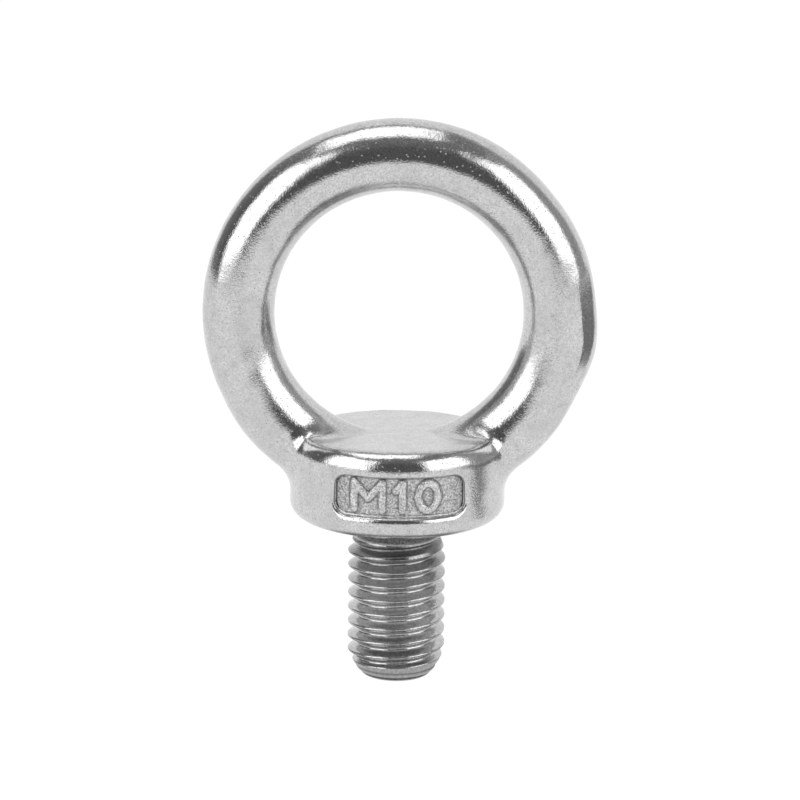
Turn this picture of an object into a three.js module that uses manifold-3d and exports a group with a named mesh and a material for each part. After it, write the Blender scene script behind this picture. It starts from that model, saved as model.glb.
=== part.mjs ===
// Lifting eye bolt, M10 size, in millimetres.
// +Z points up through the eye and the ring lies in the XZ plane, so a shackle pin runs along Y.
// The origin is the centre of the collar's seating face, on the thread's axis, and the marking
// panel faces -Y. The head is one casting. The stud sits by a plain tenon in a socket inside it.

import * as THREE from "three";
import { mergeVertices } from "three/addons/utils/BufferGeometryUtils.js";
import Module from "manifold-3d";

// Ring. It is a touch taller than it is wide.
const RING_BORE = 25.1;
const RING_SECTION = 7.3;
const RING_CENTRE_Z = 20.9;
const RING_TALL = 1.005;
const RING_STEPS = 96;
const RING_SECTION_STEPS = 32;

// Trimmed casting gate on the ring's right side: its stump is left a little proud of the round,
// the grinding dips above it, and a long narrow flat is ground along the ring's front right edge.
// Angles go round the ring from +X, in degrees.
const GATE_STUMP = { angle: -10, halfWidth: 10, rise: 0.4 };
const GATE_DIP = { angle: 42, halfWidth: 16, rise: -0.2 };
const FLAT_ANGLE = -12;
const FLAT_HALF_LENGTH = 34;
const FLAT_TURN = 43;
const FLAT_DEPTH = 0.12;

// Collar. Its top falls a little towards the back.
const COLLAR_DIAMETER = 21.9;
const COLLAR_HEIGHT = 8.6;
const COLLAR_TOP_SLOPE = 0.042;
const COLLAR_TOP_FILLET = 1.65;
const COLLAR_FOOT_FILLET = 1.4;
const COLLAR_STEPS = 72;
const FILLET_STEPS = 5;

// Marking panel, sunk into the collar's front
const PANEL_WIDTH = 12.9;
const PANEL_CENTRE_X = 0.23;
const PANEL_LOW_Z = 2.44;
const PANEL_HIGH_Z = 6.55;
const PANEL_CORNER = 1.2;
const PANEL_DEPTH = 0.5;

// Raised size mark on the panel's floor. Heights and places are of the strokes' centre lines.
const MARK_LOW_Z = 3.15;
const MARK_HIGH_Z = 5.93;
const MARK_STROKE = 0.72;
const MARK_RELIEF = 0.4;
const M_LEFT = -4.3;
const M_RIGHT = -1.5;
const M_VALLEY_Z = 4.35;
const ONE_X = 0.55;
const ONE_FLAG = { x: -0.15, z: 5.18 };
const NOUGHT_X = 3.1;
const NOUGHT_HALF_WIDTH = 0.95;

// Thread, coarse metric profile, right-handed
const THREAD_DIAMETER = 9.96;
const THREAD_PITCH = 1.5;
const THREAD_DEPTH = 0.6134 * THREAD_PITCH;
const THREAD_CREST = THREAD_PITCH / 8;
const THREAD_FLANK = THREAD_DEPTH * Math.tan(Math.PI / 6);
const THREAD_CREST_Z = -4.81;
const THREAD_TOP_Z = -2.5;
const THREAD_STEPS = 40;
const STUD_END_Z = -17.1;
// The rounded end chamfer, as (radius, height above the end)
const STUD_END_OUTLINE = [
  [3.4, 0],
  [4.0, 0.6],
  [4.45, 1.4],
  [5.03, 2.7],
];

// Neck, tenon and the socket that takes it
const NECK_DIAMETER = 8.8;
const TENON_LENGTH = 6;
const TENON_CHAMFER = 0.5;
const SOCKET_CLEARANCE = 0.3;

const OVERLAP = 0.4; // how far joined shapes run into each other, and cutters run past a face

const wasm = await Module();
wasm.setup();

// A closed three.js geometry as a solid that can be joined and cut.
function solid(geometry) {
  geometry.deleteAttribute("normal");
  geometry.deleteAttribute("uv");
  const merged = mergeVertices(geometry, 1e-4);
  return new wasm.Manifold(
    new wasm.Mesh({
      numProp: 3,
      vertProperties: merged.attributes.position.array,
      triVerts: new Uint32Array(merged.index.array),
    }),
  );
}

// A solid as a named mesh with its material.
function meshOf(name, body, material) {
  const made = body.getMesh();
  const geometry = new THREE.BufferGeometry();
  geometry.setAttribute("position", new THREE.BufferAttribute(made.vertProperties, 3));
  geometry.setIndex(new THREE.BufferAttribute(made.triVerts, 1));
  geometry.computeVertexNormals();
  const mesh = new THREE.Mesh(geometry, material);
  mesh.name = name;
  return mesh;
}

// A solid of revolution about Z. The outline's points are (radius, z), from the bottom up.
function turned(outline, steps) {
  const points = outline.map(([radius, z]) => new THREE.Vector2(radius, z));
  return solid(new THREE.LatheGeometry(points, steps).rotateX(Math.PI / 2));
}

// A quarter round of an outline, from angle start to angle end, as (radius, z) points.
function quarter(centreRadius, centreZ, size, start, end) {
  return Array.from({ length: FILLET_STEPS + 1 }, (_, i) => {
    const angle = start + ((end - start) * i) / FILLET_STEPS;
    return [centreRadius + size * Math.cos(angle), centreZ + size * Math.sin(angle)];
  });
}

// A shape drawn on the XZ plane, extruded towards -Y from y = 0.
function towardsFront(shape, depth) {
  const options = { depth, bevelEnabled: false, curveSegments: 8 };
  return solid(new THREE.ExtrudeGeometry(shape, options).rotateX(Math.PI / 2));
}

// A smooth hump of the given rise, at an angle round the ring.
function hump(angle, { angle: centre, halfWidth, rise }) {
  return rise * Math.exp(-(((angle - centre) / halfWidth) ** 2));
}

// The ring: a torus with its right side trimmed. Each point is worked in its own section, as how
// far it is out from the section's centre and how far to the back.
function ring() {
  const section = RING_SECTION / 2;
  const centreline = RING_BORE / 2 + section;
  const torus = new THREE.TorusGeometry(centreline, section, RING_SECTION_STEPS, RING_STEPS);
  const turn = THREE.MathUtils.degToRad(FLAT_TURN);
  const points = torus.attributes.position;
  for (let i = 0; i < points.count; i++) {
    const round = Math.atan2(points.getY(i), points.getX(i));
    const angle = THREE.MathUtils.radToDeg(round);
    let out = Math.hypot(points.getX(i), points.getY(i)) - centreline;
    let back = -points.getZ(i);
    const rise = hump(angle, GATE_STUMP) + hump(angle, GATE_DIP);
    out += rise * Math.max(out / section, 0) ** 2;
    const along = (angle - FLAT_ANGLE) / FLAT_HALF_LENGTH;
    const proud = out * Math.cos(turn) - back * Math.sin(turn) - section;
    const ground = Math.max(proud + FLAT_DEPTH * (1 - along ** 2), 0);
    if (Math.abs(along) < 1) {
      out -= ground * Math.cos(turn);
      back += ground * Math.sin(turn);
    }
    const x = (centreline + out) * Math.cos(round);
    const z = (centreline * RING_TALL + out) * Math.sin(round);
    points.setXYZ(i, x, back, z + RING_CENTRE_Z);
  }
  return solid(torus);
}

function collar() {
  const radius = COLLAR_DIAMETER / 2;
  const right = Math.PI / 2;
  const level = turned(
    [
      [0, 0],
      ...quarter(radius - COLLAR_FOOT_FILLET, COLLAR_FOOT_FILLET, COLLAR_FOOT_FILLET, -right, 0),
      ...quarter(
        radius - COLLAR_TOP_FILLET,
        COLLAR_HEIGHT - COLLAR_TOP_FILLET,
        COLLAR_TOP_FILLET,
        0,
        right,
      ),
      [0, COLLAR_HEIGHT],
    ],
    COLLAR_STEPS,
  );
  return level.warp((point) => {
    if (point[2] > COLLAR_HEIGHT / 2) point[2] -= COLLAR_TOP_SLOPE * point[1];
  });
}

// A cylinder through the collar's height and past both its faces.
function collarCore(radius) {
  const outline = [
    [0, -OVERLAP],
    [radius, -OVERLAP],
    [radius, COLLAR_HEIGHT + OVERLAP],
    [0, COLLAR_HEIGHT + OVERLAP],
  ];
  return turned(outline, COLLAR_STEPS);
}

function panelOutline() {
  const right = Math.PI / 2;
  const left = PANEL_CENTRE_X - PANEL_WIDTH / 2 + PANEL_CORNER;
  const far = PANEL_CENTRE_X + PANEL_WIDTH / 2 - PANEL_CORNER;
  const low = PANEL_LOW_Z + PANEL_CORNER;
  const high = PANEL_HIGH_Z - PANEL_CORNER;
  const shape = new THREE.Shape();
  shape.absarc(far, high, PANEL_CORNER, 0, right, false);
  shape.absarc(left, high, PANEL_CORNER, right, 2 * right, false);
  shape.absarc(left, low, PANEL_CORNER, 2 * right, 3 * right, false);
  shape.absarc(far, low, PANEL_CORNER, 3 * right, 4 * right, false);
  return shape;
}

// One round-ended stroke of the size mark, between two points on the panel.
function stroke([x1, z1], [x2, z2]) {
  const angle = Math.atan2(z2 - z1, x2 - x1);
  const right = Math.PI / 2;
  const shape = new THREE.Shape();
  shape.absarc(x2, z2, MARK_STROKE / 2, angle - right, angle + right, false);
  shape.absarc(x1, z1, MARK_STROKE / 2, angle + right, angle + 3 * right, false);
  return shape;
}

// The closed round of a nought.
function nought(centreX, centreZ, halfWidth, halfHeight) {
  const half = MARK_STROKE / 2;
  const shape = new THREE.Shape();
  const hole = new THREE.Path();
  shape.absellipse(centreX, centreZ, halfWidth + half, halfHeight + half, 0, 2 * Math.PI);
  hole.absellipse(centreX, centreZ, halfWidth - half, halfHeight - half, 0, 2 * Math.PI);
  shape.holes.push(hole);
  return shape;
}

// The thread size, M10, in plain strokes.
function markShapes() {
  const low = MARK_LOW_Z;
  const high = MARK_HIGH_Z;
  const valley = [(M_LEFT + M_RIGHT) / 2, M_VALLEY_Z];
  return [
    stroke([M_LEFT, low], [M_LEFT, high]),
    stroke([M_LEFT, high], valley),
    stroke(valley, [M_RIGHT, high]),
    stroke([M_RIGHT, high], [M_RIGHT, low]),
    stroke([ONE_X, low], [ONE_X, high]),
    stroke([ONE_X, high], [ONE_FLAG.x, ONE_FLAG.z]),
    nought(NOUGHT_X, (low + high) / 2, NOUGHT_HALF_WIDTH, (high - low) / 2),
  ];
}

// The socket in the collar's underside, which takes the stud's tenon.
function socket() {
  const radius = NECK_DIAMETER / 2 + SOCKET_CLEARANCE;
  const depth = TENON_LENGTH + SOCKET_CLEARANCE;
  const outline = [
    [0, -OVERLAP],
    [radius, -OVERLAP],
    [radius, depth],
    [0, depth],
  ];
  return turned(outline, THREAD_STEPS);
}

function head() {
  const radius = COLLAR_DIAMETER / 2;
  const floor = collarCore(radius - PANEL_DEPTH);
  const markTop = collarCore(radius - PANEL_DEPTH + MARK_RELIEF);
  const recess = towardsFront(panelOutline(), COLLAR_DIAMETER).subtract(floor);
  const marks = markShapes()
    .map((shape) => towardsFront(shape, radius))
    .reduce((all, one) => all.add(one))
    .intersect(markTop)
    .subtract(collarCore(radius - PANEL_DEPTH - OVERLAP));
  return ring()
    .add(collar())
    .subtract(recess)
    .add(marks)
    .subtract(socket());
}

// A rod with a helical thread from below lowZ to above highZ. Its surface is a grid: the rows are
// the thread's profile, four to a pitch, and the columns go once round. The last column meets the
// first one pitch, or four rows, higher, and a fan closes each end.
function threadedRod(lowZ, highZ) {
  const crest = THREAD_DIAMETER / 2;
  const root = crest - THREAD_DEPTH;
  const profile = [
    [-THREAD_CREST / 2, crest],
    [THREAD_CREST / 2, crest],
    [THREAD_CREST / 2 + THREAD_FLANK, root],
    [THREAD_PITCH - THREAD_CREST / 2 - THREAD_FLANK, root],
  ];
  const turn = profile.length;
  const firstPitch = Math.floor((lowZ - THREAD_CREST_Z) / THREAD_PITCH) - 1;
  const pitches = Math.ceil((highZ - lowZ) / THREAD_PITCH) + 2;
  const rows = pitches * turn;
  const positions = [];
  const triangles = [];
  const indexAt = new Map();
  const key = (row, column) => row * THREAD_STEPS + column;

  const addVertex = (row, column) => {
    const [offset, radius] = profile[row % turn];
    const share = column / THREAD_STEPS;
    const pitch = firstPitch + Math.floor(row / turn) + share;
    const angle = 2 * Math.PI * share;
    indexAt.set(key(row, column), positions.length / 3);
    positions.push(
      radius * Math.cos(angle),
      radius * Math.sin(angle),
      THREAD_CREST_Z + pitch * THREAD_PITCH + offset,
    );
  };
  for (let row = 0; row < rows + turn; row++) {
    for (let column = 0; column < (row < rows ? THREAD_STEPS : 1); column++) {
      addVertex(row, column);
    }
  }
  const at = (row, column) =>
    column === THREAD_STEPS ? indexAt.get(key(row + turn, 0)) : indexAt.get(key(row, column));

  for (let row = 0; row < rows - 1; row++) {
    for (let column = 0; column < THREAD_STEPS; column++) {
      const a = at(row, column);
      const b = at(row, column + 1);
      const c = at(row + 1, column + 1);
      const d = at(row + 1, column);
      triangles.push(a, b, c, a, c, d);
    }
  }

  const fan = (loop, z) => {
    const centre = positions.length / 3;
    positions.push(0, 0, z);
    loop.forEach((vertex, i) => triangles.push(centre, vertex, loop[(i + 1) % loop.length]));
  };
  const steps = Array.from({ length: turn }, (_, i) => i);
  const round = Array.from({ length: THREAD_STEPS }, (_, i) => i);
  const bottom = [...steps.map((i) => at(i, 0)), ...round.map((i) => at(0, THREAD_STEPS - i))];
  const top = [...round.map((i) => at(rows - 1, i)), ...steps.map((i) => at(rows - 1 + turn - i, 0))];
  fan(bottom, positions[3 * at(0, 0) + 2]);
  fan(top, positions[3 * at(rows - 1 + turn, 0) + 2]);

  const geometry = new THREE.BufferGeometry();
  geometry.setAttribute("position", new THREE.Float32BufferAttribute(positions, 3));
  geometry.setIndex(triangles);
  return solid(geometry);
}

// What the threaded length is trimmed to: a rounded end, and a run-out cone under the neck.
function threadEnvelope() {
  const outer = STUD_END_OUTLINE.at(-1)[0];
  const neck = NECK_DIAMETER / 2;
  const outline = [
    [0, STUD_END_Z],
    ...STUD_END_OUTLINE.map(([radius, height]) => [radius, STUD_END_Z + height]),
    [outer, THREAD_TOP_Z - (outer - neck)],
    [neck, THREAD_TOP_Z],
    [0, THREAD_TOP_Z],
  ];
  return turned(outline, THREAD_STEPS);
}

function neckAndTenon() {
  const radius = NECK_DIAMETER / 2;
  const outline = [
    [0, THREAD_TOP_Z - OVERLAP],
    [radius, THREAD_TOP_Z - OVERLAP],
    [radius, TENON_LENGTH - TENON_CHAMFER],
    [radius - TENON_CHAMFER, TENON_LENGTH],
    [0, TENON_LENGTH],
  ];
  return turned(outline, THREAD_STEPS);
}

function stud() {
  return threadedRod(STUD_END_Z, THREAD_TOP_Z).intersect(threadEnvelope()).add(neckAndTenon());
}

const castStainless = new THREE.MeshStandardMaterial({
  color: 0xc4c4c2,
  roughness: 0.28,
  metalness: 1,
});
const machinedStainless = new THREE.MeshStandardMaterial({
  color: 0x9c9b98,
  roughness: 0.32,
  metalness: 1,
});

const eyeBolt = new THREE.Group();
eyeBolt.add(meshOf("eye_head", head(), castStainless));
eyeBolt.add(meshOf("threaded_stud", stud(), machinedStainless));

export default eyeBolt;
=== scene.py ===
import math

import bmesh
import bpy
import numpy as np
from mathutils import Matrix, Vector


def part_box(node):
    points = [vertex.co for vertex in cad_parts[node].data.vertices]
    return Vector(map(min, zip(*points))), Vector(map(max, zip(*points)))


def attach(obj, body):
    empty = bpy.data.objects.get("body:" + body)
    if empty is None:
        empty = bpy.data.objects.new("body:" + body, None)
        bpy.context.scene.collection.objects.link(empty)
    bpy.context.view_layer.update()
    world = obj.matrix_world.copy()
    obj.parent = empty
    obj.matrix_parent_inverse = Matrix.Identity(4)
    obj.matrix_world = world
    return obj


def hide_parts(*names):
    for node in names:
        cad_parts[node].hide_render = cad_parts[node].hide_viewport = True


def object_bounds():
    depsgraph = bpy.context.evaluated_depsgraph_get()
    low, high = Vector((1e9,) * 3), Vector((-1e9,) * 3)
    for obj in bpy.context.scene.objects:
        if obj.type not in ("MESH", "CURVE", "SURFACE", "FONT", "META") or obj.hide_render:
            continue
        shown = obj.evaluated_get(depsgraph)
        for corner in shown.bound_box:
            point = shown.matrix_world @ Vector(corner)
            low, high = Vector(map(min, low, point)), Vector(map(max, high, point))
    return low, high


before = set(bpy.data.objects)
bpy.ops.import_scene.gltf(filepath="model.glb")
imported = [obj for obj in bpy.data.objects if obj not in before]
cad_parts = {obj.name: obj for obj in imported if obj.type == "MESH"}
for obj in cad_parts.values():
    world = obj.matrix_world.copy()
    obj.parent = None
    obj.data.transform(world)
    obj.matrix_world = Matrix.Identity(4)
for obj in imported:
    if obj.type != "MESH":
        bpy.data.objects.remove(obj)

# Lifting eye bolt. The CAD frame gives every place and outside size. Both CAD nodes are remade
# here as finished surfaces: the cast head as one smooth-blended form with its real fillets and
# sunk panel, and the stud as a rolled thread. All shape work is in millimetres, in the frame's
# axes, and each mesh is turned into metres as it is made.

MM = 0.001
CAD_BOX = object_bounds()
FLOOR_Z = CAD_BOX[0].z
CARD_GAP = 0.0001             # metres between the floor and each card that lies on it

# ---------------------------------------------------------------- sizes read from the frame

HEAD_LOW, HEAD_HIGH = (np.array(corner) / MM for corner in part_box("eye_head"))
STUD_LOW, STUD_HIGH = (np.array(corner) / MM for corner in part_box("threaded_stud"))

COLLAR_RADIUS = HEAD_HIGH[1]
RING_OUTSIDE = -HEAD_LOW[0]
STUD_END_Z = STUD_LOW[2]
TENON_TOP_Z = STUD_HIGH[2]
THREAD_RADIUS = STUD_HIGH[0]

# ---------------------------------------------------------------- shape details, millimetres

SECTION_RADIUS = 3.65
RING_CENTRELINE = RING_OUTSIDE - SECTION_RADIUS
RING_TALL = 1.005             # the ring is a touch taller than it is wide
RING_CENTRE_Z = HEAD_HIGH[2] - SECTION_RADIUS - RING_CENTRELINE * RING_TALL
LEG_FLARE = 0.1               # the legs thicken by this much where they reach the collar
LEG_FLARE_Z = (8.0, 13.0)

# The casting gate on the ring's right side, trimmed by hand: a stump left proud, a dip ground
# above it, and a long flat along the front right edge. Angles go round the ring from +X, degrees.
GATE_HUMPS = [(-10.0, 10.0, 0.38), (42.0, 16.0, -0.2)]     # angle, half width, rise
FLAT_ANGLE = -12.0
FLAT_HALF_LENGTH = 34.0
FLAT_TURN = math.radians(43)
FLAT_DEPTH = 0.12

COLLAR_HEIGHT = 8.6
COLLAR_TOP_SLOPE = 0.042      # the top falls towards the back
TOP_ROUND = (1.65, 2.15)      # the collar's rounded edges: how far in, and how far up or down
FOOT_ROUND = (1.4, 1.4)
LEG_FILLET = 1.4              # blend between the ring's legs and the collar
LEG_BLEND_X = (3.0, 8.0)      # the blend fades out where the bore is level with the collar's top

PANEL_CENTRE_X = 0.23
PANEL_HALF_WIDTH = 6.45
PANEL_Z = (2.44, 6.55)
PANEL_CORNER = 1.2
PANEL_DEPTH = 0.5
PANEL_RIM = (0.7, 0.3)        # rounding of the rim, along the bottom and along the top
PANEL_FOOT = 0.2

MARK_Z = (3.15, 5.93)         # heights of the middle of the mark's strokes
MARK_STROKE = 0.78
MARK_RELIEF = 0.36
RAGGED_EDGE = 0.035           # how far the mark's cast edges wander

NECK_RADIUS = 4.4
SEAM = 0.02                   # hairline between the neck and the mouth of its socket
WAVE_HEIGHT = 0.012           # slow unevenness that tumbling leaves on the casting

PITCH = 1.5
CREST_Z = -4.81
CREST_FLAT = PITCH / 8
THREAD_DEPTH = 0.6134 * PITCH
FLANK_SLOPE = math.tan(math.radians(60))
RUN_OUT_Z = (-2.6, -2.3)      # the groove fades into the neck between these heights
FIRST_CRESTS = [(-4.0, 5.0), (-2.9, 4.56), (-2.35, NECK_RADIUS)]   # height, greatest radius
BURR = 0.012                  # how far the crests stay below full size, more in some places
GROOVE_WIDTH = 0.1
STUD_PAINTED_SHADE = [                 # height, share of painted shade: dark reflection bands on the rounded end, the collar's shade on the first threads and the neck
    (-17.1, 0.3), (-16.98, 0.3), (-16.88, 1.0), (-16.72, 1.0), (-16.6, 0.0), (-16.35, 0.0),
    (-16.2, 0.6), (-16.1, 0.6), (-15.95, 0.0), (-10.0, 0.0), (-5.5, 0.25), (-3.2, 0.6),
    (-2.55, 0.8), (-2.48, 0.3), (-2.32, 0.3), (-2.25, 1.0), (5.0, 1.0),
]
END_OUTLINE = [(3.4, 0.0), (4.0, 0.6), (4.45, 1.4), (5.03, 2.7)]   # radius, height above the end
END_GROOVES = [(0.36, 0.07), (0.95, 0.035)]   # height above the end, depth

COARSE_STEP = 0.28            # the head's grid: over most of it, and round the panel
FINE_STEP = 0.128


# ---------------------------------------------------------------- fields: < 0 inside the metal

def smooth_step(value, low, high):
    share = np.clip((value - low) / (high - low), 0.0, 1.0)
    return share * share * (3.0 - 2.0 * share)


def smooth_min(a, b, size):
    """The union of two fields, with a fillet about size wide between them."""
    near = np.maximum(size - np.abs(a - b), 0.0) / size
    return np.minimum(a, b) - near * near * size / 4.0


def smooth_max(a, b, size):
    return -smooth_min(-a, -b, size)


def ring_field(x, y, z):
    """The ring, worked in its own section: how far out from the section's centre, and y."""
    up = (z - RING_CENTRE_Z) / RING_TALL
    flare = LEG_FLARE * (1.0 - smooth_step(z, *LEG_FLARE_Z))
    out = np.hypot(x, up) - RING_CENTRELINE - flare
    angle = np.degrees(np.arctan2(up, x))
    size = np.maximum(np.hypot(out, y), 1e-6)
    outward = np.maximum(out / size, 0.0) ** 2
    rise = sum(top * np.exp(-(((angle - at) / width) ** 2)) for at, width, top in GATE_HUMPS)
    ring = size - SECTION_RADIUS - flare - rise * outward

    along = np.clip((angle - FLAT_ANGLE) / FLAT_HALF_LENGTH, -1.0, 1.0)
    depth = FLAT_DEPTH * (1.0 - 1.5 * along * along)
    flat = (out - rise) * math.cos(FLAT_TURN) - y * math.sin(FLAT_TURN) - SECTION_RADIUS + depth
    return smooth_max(ring, np.where(np.abs(along) < 1.0, flat, ring - 1.0), 0.03)


def collar_field(x, y, z):
    """A turned disc. Both its edges are rounded, and the round is an ellipse in the section."""
    middle = COLLAR_HEIGHT / 2
    wide, tall = (np.where(z > middle, top, foot) for top, foot in zip(TOP_ROUND, FOOT_ROUND))
    level = z + COLLAR_TOP_SLOPE * y * smooth_step(z, 3.0, 7.0)
    out = (np.hypot(x, y) - COLLAR_RADIUS) / wide + 1.0
    up = (np.abs(level - middle) - middle) / tall + 1.0
    corner = np.hypot(np.maximum(out, 0.0), np.maximum(up, 0.0))
    return (np.minimum(np.maximum(out, up), 0.0) + corner - 1.0) * wide


def panel_outline(x, z):
    """Distance to the panel's rounded rectangle, seen from the front."""
    low, high = PANEL_Z
    across = np.abs(x - PANEL_CENTRE_X) - PANEL_HALF_WIDTH + PANEL_CORNER
    up = np.abs(z - (low + high) / 2) - (high - low) / 2 + PANEL_CORNER
    corner = np.hypot(np.maximum(across, 0.0), np.maximum(up, 0.0))
    return np.minimum(np.maximum(across, up), 0.0) + corner - PANEL_CORNER


def stroke(x, z, start, end):
    (x1, z1), (x2, z2) = start, end
    dx, dz = x2 - x1, z2 - z1
    share = np.clip(((x - x1) * dx + (z - z1) * dz) / (dx * dx + dz * dz), 0.0, 1.0)
    return np.hypot(x - x1 - share * dx, z - z1 - share * dz) - MARK_STROKE / 2


def nought(x, z, centre, half_width, half_height):
    dx, dz = x - centre[0], z - centre[1]
    scale = np.maximum(np.hypot(dx / half_width, dz / half_height), 1e-6)
    steep = np.maximum(np.hypot(dx / half_width**2, dz / half_height**2), 1e-6)
    return np.abs(scale * (scale - 1.0) / steep) - MARK_STROKE / 2


def mark_outline(x, z):
    """Distance to the raised thread-size mark, M10, seen from the front."""
    low, high = MARK_Z
    left, right, valley = -4.3, -1.5, (-2.9, low + 1.2)
    one = 0.55
    lines = [
        ((left, low), (left, high)),
        ((left, high), valley),
        (valley, (right, high)),
        ((right, high), (right, low)),
        ((one, low), (one, high)),
        ((one, high), (one - 0.7, high - 0.75)),
    ]
    mark = nought(x, z, (3.1, (low + high) / 2), 0.95, (high - low) / 2)
    for start, end in lines:
        mark = np.minimum(mark, stroke(x, z, start, end))
    return mark


def body_field(x, y, z):
    """The ring and the collar, with the socket, before the panel is sunk."""
    fade = smooth_step(np.abs(x), *LEG_BLEND_X)
    head = smooth_min(ring_field(x, y, z), collar_field(x, y, z), LEG_FILLET * fade + 0.01)
    socket = np.maximum(np.hypot(x, y) - NECK_RADIUS - SEAM, z - TENON_TOP_Z - SEAM)
    return smooth_max(head, -socket, 0.15)


def with_panel(head, x, y, z):
    """Sinks the panel into a field of the head, and raises the mark on its floor."""
    depth = COLLAR_RADIUS - np.hypot(x, y)
    sunk = smooth_max(panel_outline(x, z), depth - PANEL_DEPTH, PANEL_FOOT)
    bottom, top = PANEL_RIM
    rim = bottom + (top - bottom) * smooth_step(z, PANEL_Z[0] + 0.3, PANEL_Z[1] - 0.8)
    head = smooth_max(head, -np.maximum(sunk, y), rim)
    ragged = RAGGED_EDGE * waves(x, y, z, 3, 14, 0.5, 1.6)
    raised = smooth_max(mark_outline(x, z) - ragged, PANEL_DEPTH - MARK_RELIEF - depth, 0.3)
    return smooth_min(head, np.maximum(raised, y), 0.25)


def head_field(x, y, z):
    head = body_field(x, y, z)
    low, high = PANEL_Z
    near = (y < -7.0) & (z > low - 1.0) & (z < high + 1.0) & (np.abs(head) < 1.2)
    near = np.broadcast_to(near, head.shape)
    x, y, z = (np.broadcast_to(axis, head.shape)[near] for axis in (x, y, z))
    head[near] = with_panel(head[near], x, y, z)
    return head


def waves(x, y, z, seed, count, shortest, longest):
    """A smooth random field of size about 1: a sum of plane waves."""
    random = np.random.default_rng(seed)
    total = np.zeros_like(x)
    for _ in range(count):
        direction = random.normal(size=3)
        direction /= np.linalg.norm(direction)
        length = shortest * (longest / shortest) ** random.random()
        turn = 2 * math.pi / length
        phase = random.random() * 2 * math.pi
        total += np.sin(turn * (x * direction[0] + y * direction[1] + z * direction[2]) + phase)
    return total / math.sqrt(count / 2)


def tumbled_head_field(points):
    x, y, z = points.T
    uneven = 1.0 + 0.5 * waves(x, y, z, 7, 16, 1.6, 6.0)
    return head_field(x, y, z) + WAVE_HEIGHT * smooth_step(z, 0.0, 1.0) * uneven


# ---------------------------------------------------------------- meshing

def ticks(low, high, fine):
    """Grid lines from low to high, close together between the two fine limits."""
    stops = [(low, fine[0], COARSE_STEP), (fine[0], fine[1], FINE_STEP), (fine[1], high, COARSE_STEP)]
    runs = [
        np.linspace(start, end, max(2, math.ceil((end - start) / step) + 1))
        for start, end, step in stops
        if end > start
    ]
    return np.unique(np.concatenate(runs).round(6))


def gradient(field, points, step=0.01):
    slopes = np.empty_like(points)
    for axis in range(3):
        offset = np.zeros(3)
        offset[axis] = step
        slopes[:, axis] = (field(points + offset) - field(points - offset)) / (2 * step)
    return slopes


def drop_onto(field, points, rounds):
    """Moves points to the surface where the field is 0."""
    for _ in range(rounds):
        slopes = gradient(field, points)
        steepness = np.maximum((slopes * slopes).sum(1), 0.05)
        points = points - slopes * (field(points) / steepness)[:, None]
    return points


def net(field, xs, ys, zs):
    """A surface net: one vertex for each grid cell that the surface crosses, joined by quads."""
    gx, gy, gz = np.meshgrid(xs, ys, zs, indexing="ij", sparse=True)
    inside = field(gx, gy, gz) < 0
    cells = np.zeros(tuple(n - 1 for n in inside.shape), np.int8)
    for i in (0, 1):
        for j in (0, 1):
            for k in (0, 1):
                cells += inside[
                    i : inside.shape[0] - 1 + i,
                    j : inside.shape[1] - 1 + j,
                    k : inside.shape[2] - 1 + k,
                ]
    crossed = (cells > 0) & (cells < 8)
    number = np.full(cells.shape, -1, np.int64)
    number[crossed] = np.arange(crossed.sum())
    i, j, k = np.nonzero(crossed)
    middles = [(line[1:] + line[:-1]) / 2 for line in (xs, ys, zs)]
    points = np.column_stack([middles[0][i], middles[1][j], middles[2][k]])

    quads = []
    for axis in range(3):
        turned = np.moveaxis(inside, [axis, (axis + 1) % 3, (axis + 2) % 3], [0, 1, 2])
        at = np.moveaxis(number, [axis, (axis + 1) % 3, (axis + 2) % 3], [0, 1, 2])
        leaves = turned[:-1, 1:-1, 1:-1] & ~turned[1:, 1:-1, 1:-1]
        enters = ~turned[:-1, 1:-1, 1:-1] & turned[1:, 1:-1, 1:-1]
        for change, order in ((leaves, 1), (enters, -1)):
            a, b, c = np.nonzero(change)
            corners = [at[a, b, c], at[a, b + 1, c], at[a, b + 1, c + 1], at[a, b, c + 1]]
            quads.append(np.column_stack(corners[::order]))
    return points, np.concatenate(quads)


def relaxed(points, quads):
    """Each point moved to the mean of its neighbours."""
    ends = np.concatenate([quads[:, [i, (i + 1) % 4]] for i in range(4)])
    ends = np.concatenate([ends, ends[:, ::-1]])
    count = np.bincount(ends[:, 0], minlength=len(points))
    sums = [np.bincount(ends[:, 0], points[ends[:, 1], i], len(points)) for i in range(3)]
    return np.column_stack(sums) / count[:, None]


def mesh_object(name, points, faces, normals=None):
    """A smooth-shaded object from points in millimetres."""
    mesh = bpy.data.meshes.new(name)
    mesh.from_pydata((points * MM).tolist(), [], faces.tolist())
    mesh.polygons.foreach_set("use_smooth", [True] * len(mesh.polygons))
    if normals is not None:
        mesh.normals_split_custom_set_from_vertices(normals.tolist())
    made = bpy.data.objects.new(name, mesh)
    bpy.context.scene.collection.objects.link(made)
    return made


def paint(obj, name, values):
    """Stores one number for each vertex, which the materials read by name."""
    layer = obj.data.attributes.new(name, "FLOAT", "POINT")
    layer.data.foreach_set("value", np.asarray(values, np.float32))


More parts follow.
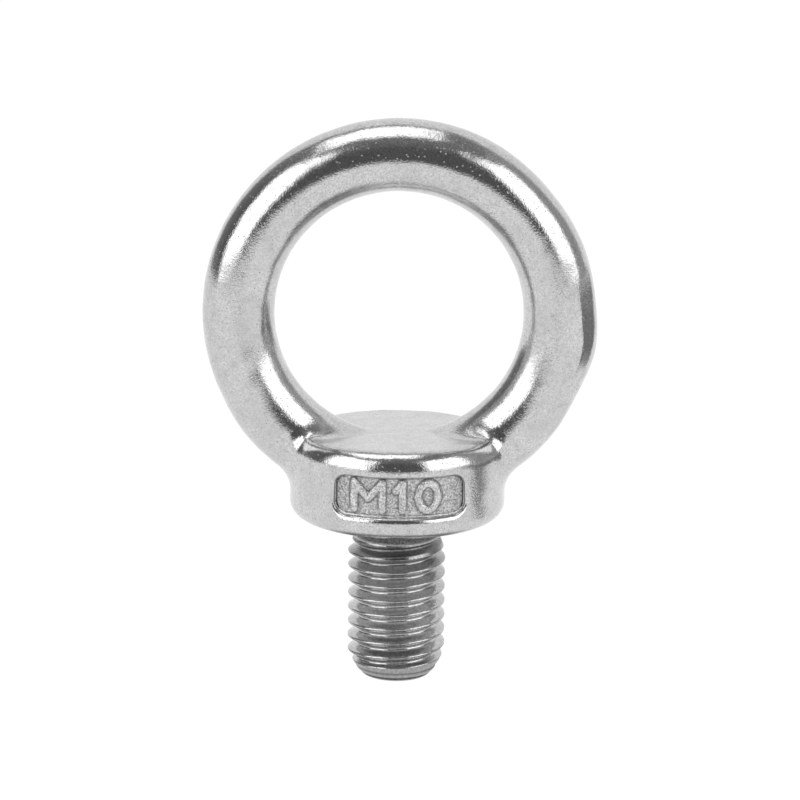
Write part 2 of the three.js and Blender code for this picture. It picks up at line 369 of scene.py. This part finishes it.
def cast_head():
    """The head's mesh, pulled onto its exact surface, with grime and painted shade marked in the
    corners of its panel and mark.
    """
    margin = 3 * COARSE_STEP
    low, high = HEAD_LOW - margin, HEAD_HIGH + margin
    xs = ticks(low[0], high[0], (-PANEL_HALF_WIDTH - 0.7, PANEL_HALF_WIDTH + 0.7))
    ys = ticks(low[1], high[1], (-COLLAR_RADIUS - 0.3, -7.6))
    zs = ticks(low[2], high[2], (PANEL_Z[0] - 0.7, PANEL_Z[1] + 0.7))
    points, quads = net(head_field, xs, ys, zs)
    for _ in range(3):
        points = drop_onto(tumbled_head_field, points, 2)
        points = relaxed(points, quads)
    points = np.clip(drop_onto(tumbled_head_field, points, 4), HEAD_LOW, HEAD_HIGH)
    normals = gradient(tumbled_head_field, points)
    normals /= np.linalg.norm(normals, axis=1)[:, None]

    head = mesh_object("cast_eye_head", points, quads, normals)
    x, y, z = points.T
    depth = COLLAR_RADIUS - np.hypot(x, y)
    inset = -panel_outline(x, z)
    in_panel = smooth_step(inset, 0.0, 0.25) * (y < 0)
    paint(head, "panel_floor", in_panel * (0.5 + 0.5 * smooth_step(depth, 0.2, PANEL_DEPTH - 0.05)))
    # Darker corners round the panel's edge and the mark: partly grime, partly painted shade in the
    # recess.
    round_mark = 1.0 - smooth_step(np.abs(mark_outline(x, z) - 0.04), 0.02, 0.15)
    round_edge = 1.0 - smooth_step(np.abs(inset - 0.1), 0.03, 0.16)
    deep = (y < 0) * smooth_step(depth, 0.12, 0.35)
    above_foot = smooth_step(z, PANEL_Z[0] + 0.3, PANEL_Z[0] + 1.2)
    paint(head, "grime_and_shade", deep * above_foot * np.maximum(round_mark, round_edge))
    return head


# ---------------------------------------------------------------- the stud

def thread_radius(turns, z):
    """The rolled profile's radius, from how many turns a point is above a crest."""
    away = np.abs(turns - np.round(turns)) * PITCH
    flank = THREAD_RADIUS - (away - CREST_FLAT / 2) * FLANK_SLOPE
    profile = smooth_min(flank, np.full_like(flank, THREAD_RADIUS), 0.06)
    profile = smooth_max(profile, np.full_like(flank, THREAD_RADIUS - THREAD_DEPTH), 0.15)
    heights, radii = zip(*FIRST_CRESTS)
    profile = smooth_min(profile, np.interp(z, heights, radii), 0.06)
    fade = 1.0 - smooth_step(z, *RUN_OUT_Z)
    profile = NECK_RADIUS + (profile - NECK_RADIUS) * fade
    radii, heights = zip(*END_OUTLINE)
    above_end = z - STUD_END_Z
    end = np.interp(above_end, heights, radii, right=2 * THREAD_RADIUS)
    for height, depth in END_GROOVES:
        end = end - depth * np.exp(-(((above_end - height) / GROOVE_WIDTH) ** 2))
    return smooth_min(profile, end, 0.12)


def rolled_stud():
    """The thread as a grid that follows its helix, closed by plain rings below and above it."""
    around, per_pitch = 144, 24
    angles = np.linspace(0, 2 * math.pi, around + 1)
    low_turn = math.floor((STUD_END_Z - CREST_Z) / PITCH) - 1
    high_turn = math.ceil((RUN_OUT_Z[1] - CREST_Z) / PITCH) + 1
    turns = np.arange(low_turn * per_pitch, high_turn * per_pitch + 1) / per_pitch
    row_turns, angle = np.meshgrid(turns, angles, indexing="ij")
    z = CREST_Z + PITCH * (row_turns + angle / (2 * math.pi))
    z = np.clip(z, STUD_END_Z, RUN_OUT_Z[1])
    phase = (z - CREST_Z) / PITCH - angle / (2 * math.pi)
    radius = thread_radius(phase, z)
    uneven = 1.0 + 0.5 * waves(radius * np.cos(angle), radius * np.sin(angle), z, 11, 16, 0.5, 2.0)
    radius = radius - BURR * uneven * smooth_step(radius, 4.7, 4.9)

    end_radius = float(thread_radius(np.zeros(1), np.full(1, STUD_END_Z))[0])
    end_face = [(end_radius * share, STUD_END_Z) for share in (0.0, 0.35, 0.7, 0.93)]
    neck = [(NECK_RADIUS, height) for height in np.linspace(RUN_OUT_Z[1], TENON_TOP_Z - 0.5, 40)[1:]]
    tenon_top = [(NECK_RADIUS - 0.5, TENON_TOP_Z), (NECK_RADIUS / 2, TENON_TOP_Z), (0.0, TENON_TOP_Z)]

    def rings(outline):
        sizes = np.array(outline)
        return (np.repeat(sizes[:, i : i + 1], around + 1, axis=1) for i in (0, 1))

    below_radius, below_z = rings(end_face)
    above_radius, above_z = rings(neck + tenon_top)
    radius = np.concatenate([below_radius, radius, above_radius])
    z = np.concatenate([below_z, z, above_z])
    angle = np.broadcast_to(angles, radius.shape)
    points = np.stack([radius * np.cos(angle), radius * np.sin(angle), z], -1).reshape(-1, 3)

    rows, columns = radius.shape
    first = (np.arange(rows - 1)[:, None] * columns + np.arange(columns - 1)).ravel()
    faces = np.column_stack([first, first + 1, first + columns + 1, first + columns])
    stud = mesh_object("rolled_stud", points, faces)

    heights = points[:, 2]
    # Painted shade on the neck and first threads under the collar, and painted dark reflection bands
    # on the rounded end, with a lighter rim left below the neck.
    paint(stud, "painted_shade", np.interp(heights, *zip(*STUD_PAINTED_SHADE)))

    seams = bmesh.new()
    seams.from_mesh(stud.data)
    bmesh.ops.remove_doubles(seams, verts=seams.verts, dist=0.002 * MM)
    seams.to_mesh(stud.data)
    seams.free()
    return stud


# ---------------------------------------------------------------- materials

def new_material(name):
    material = bpy.data.materials.new(name)
    material.use_nodes = True
    nodes, links = material.node_tree.nodes, material.node_tree.links
    return material, nodes, links, nodes["Principled BSDF"]


def math_node(nodes, links, operation, first, second=None):
    node = nodes.new("ShaderNodeMath")
    node.operation = operation
    for socket, value in zip(node.inputs, (first, second)):
        if value is None:
            continue
        if isinstance(value, (int, float)):
            socket.default_value = value
        else:
            links.new(value, socket)
    return node.outputs[0]


def ramp(nodes, links, value, low, high, out_low, out_high):
    node = nodes.new("ShaderNodeMapRange")
    node.inputs["From Min"].default_value = low
    node.inputs["From Max"].default_value = high
    node.inputs["To Min"].default_value = out_low
    node.inputs["To Max"].default_value = out_high
    links.new(value, node.inputs["Value"])
    return node.outputs["Result"]


def noise(nodes, links, vector, scale, detail=2.0, roughness=0.5):
    node = nodes.new("ShaderNodeTexNoise")
    node.inputs["Scale"].default_value = scale
    node.inputs["Detail"].default_value = detail
    node.inputs["Roughness"].default_value = roughness
    links.new(vector, node.inputs["Vector"])
    return node.outputs["Fac"]


def millimetres(nodes, links, stretch=(1.0, 1.0, 1.0)):
    """Object coordinates in millimetres, stretched along each axis."""
    place = nodes.new("ShaderNodeTexCoord")
    scale = nodes.new("ShaderNodeMapping")
    scale.inputs["Scale"].default_value = [factor / MM for factor in stretch]
    links.new(place.outputs["Object"], scale.inputs["Vector"])
    return scale.outputs["Vector"]


def attribute(nodes, name):
    node = nodes.new("ShaderNodeAttribute")
    node.attribute_name = name
    return node.outputs["Fac"]


def bump(nodes, links, height, distance, under=None):
    node = nodes.new("ShaderNodeBump")
    node.inputs["Strength"].default_value = 1.0
    node.inputs["Distance"].default_value = distance * MM
    links.new(height, node.inputs["Height"])
    if under is not None:
        links.new(under, node.inputs["Normal"])
    return node.outputs["Normal"]


def mixed(nodes, links, share, first, second):
    """A colour between two. Each is a tuple or a socket."""
    node = nodes.new("ShaderNodeMix")
    node.data_type = "RGBA"
    for name, value in (("A", first), ("B", second)):
        socket = [s for s in node.inputs if s.name == name and s.type == "RGBA"][0]
        if isinstance(value, tuple):
            socket.default_value = (*value, 1.0)
        else:
            links.new(value, socket)
    links.new(share, node.inputs["Factor"])
    return [s for s in node.outputs if s.type == "RGBA"][0]


def dots(nodes, links, place, scale, size):
    """1 inside small round pits, 0 between them. The scale is in pits for each millimetre."""
    cells = nodes.new("ShaderNodeTexVoronoi")
    cells.inputs["Scale"].default_value = scale
    links.new(place, cells.inputs["Vector"])
    return ramp(nodes, links, cells.outputs["Distance"], size * 0.5, size, 1.0, 0.0)


def grey_grain(nodes, links, place, scale, darkest, palest):
    """A speckled grey, with grains about 1 / scale millimetres across."""
    grain = noise(nodes, links, place, scale, 3.0, 0.7)
    return ramp(nodes, links, grain, 0.38, 0.62, darkest, palest)


def cast_stainless():
    """A tumbled casting: bright, with a fine grain, pits with painted shade in them, and a rough
    floor in the panel.
    """
    material, nodes, links, steel = new_material("cast_stainless")
    place = millimetres(nodes, links)
    patches = noise(nodes, links, place, 0.35, 3.0)
    floor = attribute(nodes, "panel_floor")
    grime_and_shade = attribute(nodes, "grime_and_shade")
    pit = dots(nodes, links, place, 1.9, 0.14)

    speckled = grey_grain(nodes, links, place, 5.0, 0.50, 0.70)
    stain = ramp(nodes, links, patches, 0.35, 0.65, 0.0, 0.5)
    stained = mixed(nodes, links, stain, speckled, (0.51, 0.51, 0.51))
    mottle = ramp(nodes, links, noise(nodes, links, place, 1.3, 4.0, 0.68), 0.5, 0.68, 0.0, 0.45)
    mottled = mixed(nodes, links, mottle, stained, (0.40, 0.40, 0.40))
    # The pits are darkened: painted shade in their hollows.
    pits_shaded = mixed(nodes, links, pit, mottled, (0.30, 0.30, 0.298))
    sandy = mixed(nodes, links, floor, pits_shaded, grey_grain(nodes, links, place, 4.8, 0.30, 0.86))
    # Grime with painted shade darkens the corners round the panel and the mark.
    grime_and_shade_share = math_node(nodes, links, "MULTIPLY", grime_and_shade, 0.7)
    links.new(mixed(nodes, links, grime_and_shade_share, sandy, (0.15, 0.15, 0.15)), steel.inputs["Base Color"])
    steel.inputs["Metallic"].default_value = 1.0

    polished = ramp(nodes, links, patches, 0.3, 0.7, 0.07, 0.13)
    dull = math_node(nodes, links, "MULTIPLY", floor, 0.2)
    links.new(math_node(nodes, links, "ADD", polished, dull), steel.inputs["Roughness"])

    speckle = bump(nodes, links, noise(nodes, links, place, 6.0, 2.0, 0.6), 0.017)
    sand = math_node(nodes, links, "MULTIPLY", noise(nodes, links, place, 3.6, 3.0, 0.7), floor)
    sunk = bump(nodes, links, sand, 0.25, speckle)
    hollow = math_node(nodes, links, "MULTIPLY", pit, -1.0)
    links.new(bump(nodes, links, hollow, 0.02, sunk), steel.inputs["Normal"])
    return material


def machined_stainless():
    """The stud: fine lines round the thread, with painted shade on the neck and the first threads
    under the collar, and painted dark reflection bands on its rounded end.
    """
    material, nodes, links, steel = new_material("machined_stainless")
    place = millimetres(nodes, links)
    turned = millimetres(nodes, links, (0.25, 0.25, 3.0))
    painted_shade = attribute(nodes, "painted_shade")
    thread = grey_grain(nodes, links, place, 3.2, 0.44, 0.58)
    painted_shade_grey = grey_grain(nodes, links, place, 5.5, 0.03, 0.19)
    # Painted shade and painted reflection bands: the mask mixes in a near-black grey, and also dulls
    # the steel.
    links.new(mixed(nodes, links, painted_shade, thread, painted_shade_grey), steel.inputs["Base Color"])
    steel.inputs["Metallic"].default_value = 1.0
    grain = noise(nodes, links, place, 4.0, 3.0, 0.65)
    smooth = ramp(nodes, links, grain, 0.3, 0.7, 0.08, 0.15)
    dull = math_node(nodes, links, "MULTIPLY", painted_shade, 0.12)
    links.new(math_node(nodes, links, "ADD", smooth, dull), steel.inputs["Roughness"])
    lines = bump(nodes, links, noise(nodes, links, turned, 2.0, 3.0, 0.6), 0.02)
    rough = math_node(nodes, links, "MULTIPLY", grain, ramp(nodes, links, painted_shade, 0.5, 1, 0.12, 1.0))
    links.new(bump(nodes, links, rough, 0.14, lines), steel.inputs["Normal"])
    return material


# ---------------------------------------------------------------- studio

def glow(name, radiance, soft=0.0):
    """A light-giving material. soft is the share of a card's width over which its edges fade."""
    material = bpy.data.materials.new(name)
    material.use_nodes = True
    nodes, links = material.node_tree.nodes, material.node_tree.links
    nodes.clear()
    light = nodes.new("ShaderNodeEmission")
    light.inputs["Strength"].default_value = radiance
    links.new(light.outputs[0], nodes.new("ShaderNodeOutputMaterial").inputs["Surface"])
    if soft > 0:
        parts = nodes.new("ShaderNodeSeparateXYZ")
        links.new(nodes.new("ShaderNodeTexCoord").outputs["Generated"], parts.inputs[0])
        fades = []
        for axis in ("X", "Y"):
            from_low = ramp(nodes, links, parts.outputs[axis], 0.0, soft, 0.1, 1.0)
            from_high = ramp(nodes, links, parts.outputs[axis], 1.0 - soft, 1.0, 1.0, 0.1)
            fades.append(math_node(nodes, links, "MULTIPLY", from_low, from_high))
        level = math_node(nodes, links, "MULTIPLY", *fades)
        links.new(math_node(nodes, links, "MULTIPLY", level, radiance), light.inputs["Strength"])
    return material


def card(name, corners, material):
    """A flat four-sided card that lights the eye bolt but that the camera doesn't see."""
    mesh = bpy.data.meshes.new(name)
    centre = sum((Vector(c) for c in corners), Vector()) / len(corners)
    mesh.from_pydata([Vector(c) - centre for c in corners], [], [tuple(range(len(corners)))])
    mesh.materials.append(material)
    obj = bpy.data.objects.new(name, mesh)
    obj.location = centre
    bpy.context.scene.collection.objects.link(obj)
    obj.visible_camera = False


def standing_card(name, bearings, rises, distance, radiance, soft=0.0):
    """An upright card facing the eye bolt. bearings are its left and right edges, in degrees, 0
    towards the camera and 90 to its right. rises are the elevations of its lower and upper edges."""
    half = math.radians(bearings[1] - bearings[0]) / 2
    width = 2 * distance * math.tan(half)
    bottom, top = (distance * math.tan(math.radians(rise)) for rise in rises)
    x, y = width / 2, (top - bottom) / 2
    mesh = bpy.data.meshes.new(name)
    mesh.from_pydata([(-x, -y, 0), (x, -y, 0), (x, y, 0), (-x, y, 0)], [], [(0, 1, 2, 3)])
    mesh.materials.append(glow(name, radiance, soft))
    obj = bpy.data.objects.new(name, mesh)
    turn = math.radians(sum(bearings) / 2)
    towards = Vector((math.sin(turn), -math.cos(turn), 0.0))
    obj.location = towards * distance + Vector((0, 0, (top + bottom) / 2))
    obj.rotation_euler = (-towards).to_track_quat("Z", "Y").to_euler()
    bpy.context.scene.collection.objects.link(obj)
    obj.visible_camera = False


def overhead_card():
    """The big soft box above, reaching further to the left than to the right."""
    height = 1.0
    left, right, front, back = -0.56, 0.24, -0.34, 0.37
    outline = [(left, front), (right, front), (right, back), (left, back)]
    card("soft_box_top", [(x, y, height) for x, y in outline], glow("soft_box_top", 2.0))


def table_end():
    """The end of the table, off to the right: a dull corner that the bright steel picks up."""
    level = FLOOR_Z + 2 * CARD_GAP
    right_hand = [(0.067, 0.004), (0.073, -0.003), (0.086, -0.010), (0.60, -0.20)]
    left_hand = [(0.60, 0.65), (0.11, 0.065), (0.086, 0.018), (0.073, 0.010)]
    card("table_end", [(x, y, level) for x, y in right_hand + left_hand], glow("table_end", 0.25))


def foot_shade():
    """The shade on the table in a ring round the stud, which only the steel's reflections show."""
    level, half = FLOOR_Z + CARD_GAP, 0.027
    stud_shade, stud_reach = (0.34, 0.8), (0.0055, 0.0085)
    fades_out = (0.010, 0.018)
    material = glow("foot_shade", 1.0)
    nodes, links = material.node_tree.nodes, material.node_tree.links
    reach = nodes.new("ShaderNodeVectorMath")
    reach.operation = "LENGTH"
    links.new(nodes.new("ShaderNodeTexCoord").outputs["Object"], reach.inputs[0])
    inner = ramp(nodes, links, reach.outputs["Value"], *stud_reach, *stud_shade)
    outer = ramp(nodes, links, reach.outputs["Value"], *fades_out, 1.0, 0.0)
    shade = math_node(nodes, links, "MULTIPLY", inner, outer)
    links.new(math_node(nodes, links, "SUBTRACT", 1.0, shade), nodes["Emission"].inputs["Strength"])
    outline = [(-half, -half), (half, -half), (half, half), (-half, half)]
    card("foot_shade", [(x, y, level) for x, y in outline], material)


def pale_floor():
    """A white sheet, with a notch in its front edge and clear when seen from below."""
    notch = [(-0.25, -0.6), (0.0, -0.26), (0.25, -0.6)]
    outline = [(-1.1, -0.7), *notch, (1.1, -0.7), (1.1, 1.5), (-1.1, 1.5)]
    mesh = bpy.data.meshes.new("floor")
    mesh.from_pydata([(x, y, 0) for x, y in outline], [], [tuple(range(len(outline)))])
    floor = bpy.data.objects.new("floor", mesh)
    floor.location.z = FLOOR_Z
    bpy.context.scene.collection.objects.link(floor)
    material = bpy.data.materials.new("floor")
    material.use_nodes = True
    nodes, links = material.node_tree.nodes, material.node_tree.links
    paper = nodes["Principled BSDF"]
    paper.inputs["Base Color"].default_value = (0.02, 0.02, 0.02, 1)
    paper.inputs["Roughness"].default_value = 1.0
    paper.inputs["Specular IOR Level"].default_value = 0.0
    paper.inputs["Emission Color"].default_value = (1, 1, 1, 1)
    paper.inputs["Emission Strength"].default_value = 1.0
    clear = nodes.new("ShaderNodeBsdfTransparent")
    under = nodes.new("ShaderNodeMixShader")
    side_seen = nodes.new("ShaderNodeNewGeometry")
    links.new(side_seen.outputs["Backfacing"], under.inputs[0])
    links.new(paper.outputs[0], under.inputs[1])
    links.new(clear.outputs[0], under.inputs[2])
    links.new(under.outputs[0], nodes["Material Output"].inputs["Surface"])
    mesh.materials.append(material)


def studio_world():
    """A dim room, seen only in reflections. The camera sees white paper everywhere."""
    world = bpy.data.worlds.new("studio")
    bpy.context.scene.world = world
    world.use_nodes = True
    nodes, links = world.node_tree.nodes, world.node_tree.links
    sky = nodes["Background"]
    direction = nodes.new("ShaderNodeTexCoord").outputs["Generated"]
    parts = nodes.new("ShaderNodeSeparateXYZ")
    links.new(direction, parts.inputs[0])
    behind = ramp(nodes, links, parts.outputs["Y"], 0.0, 0.8, 0.0, 0.15)
    right = ramp(nodes, links, parts.outputs["X"], 0.5, 0.9, 0.0, 0.25)
    up = ramp(nodes, links, parts.outputs["Z"], 0.5, 0.85, 0.12, 0.24)
    room = math_node(nodes, links, "ADD", math_node(nodes, links, "ADD", behind, right), up)
    path = nodes.new("ShaderNodeLightPath")
    seen = nodes.new("ShaderNodeMix")
    links.new(path.outputs["Is Camera Ray"], seen.inputs["Factor"])
    links.new(room, seen.inputs["A"])
    seen.inputs["B"].default_value = 1.05
    links.new(seen.outputs[0], sky.inputs["Strength"])
    sky.inputs["Color"].default_value = (1, 1, 1, 1)


def camera():
    """The main view: from the front, 15 degrees above level, with a long lens."""
    distance, lift, roll = 450 * MM, math.radians(15.0), math.radians(0.56)
    target = Vector((0.185, 0.032, 11.775)) * MM
    back = Vector((0.0, -math.cos(lift), math.sin(lift)))
    data = bpy.data.cameras.new("camera")
    data.lens = 199.6
    data.sensor_width = 36.0
    data.clip_start, data.clip_end = 0.01, 20.0
    obj = bpy.data.objects.new("camera", data)
    bpy.context.scene.collection.objects.link(obj)
    turn = back.to_track_quat("Z", "Y").to_matrix() @ Matrix.Rotation(roll, 3, "Z")
    obj.matrix_world = Matrix.Translation(target + back * distance) @ turn.to_4x4()
    bpy.context.scene.camera = obj


# ---------------------------------------------------------------- build

camera()
head = cast_head()
head.data.materials.append(cast_stainless())
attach(head, "root")
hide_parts("eye_head")

stud = rolled_stud()
stud.data.materials.append(machined_stainless())
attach(stud, "root")
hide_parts("threaded_stud")

studio_world()
pale_floor()
table_end()
foot_shade()
standing_card("soft_box_left", (-84, -29.5), (0, 50), 1.0, 2.2, 0.06)
standing_card("soft_box_right", (30, 84), (0.5, 48), 1.0, 2.2, 0.06)
standing_card("back_wall", (120, 222), (-3, 60), 1.3, 0.97)
standing_card("right_wall", (70, 121), (-6, 58), 1.35, 0.4)
overhead_card()
bpy.context.scene.view_settings.view_transform = "Standard"
